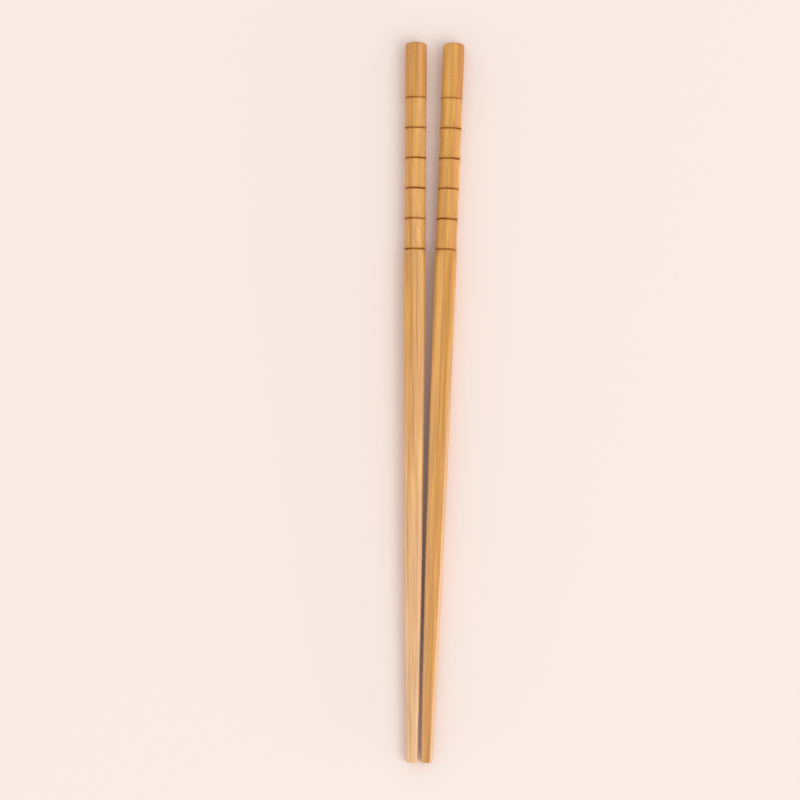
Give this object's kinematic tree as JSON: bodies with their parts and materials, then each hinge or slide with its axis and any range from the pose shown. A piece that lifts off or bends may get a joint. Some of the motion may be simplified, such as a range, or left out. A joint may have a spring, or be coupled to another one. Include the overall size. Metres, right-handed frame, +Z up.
{
  "type": "pair of chopsticks",
  "caption": "Pair of bamboo chopsticks with a round head, a waisted grip with burnt ring grooves and a squared body that tapers to a flat tip; for picking up food.",
  "frame": {"origin": "midway between the two sticks, halfway from heads to tips, on the surface they lie on", "axes": "+Y from the tips to the heads along the pair's middle line, +Z up from the surface, +X to the right stick"},
  "size_m": [0.0198, 0.24, 0.0077],
  "materials": {
    "carbonised_bamboo": "sanded, satin"
  },
  "bodies": {
    "root": {"left_chopstick": "carbonised_bamboo", "right_chopstick": "carbonised_bamboo"}
  },
  "joints": []
}
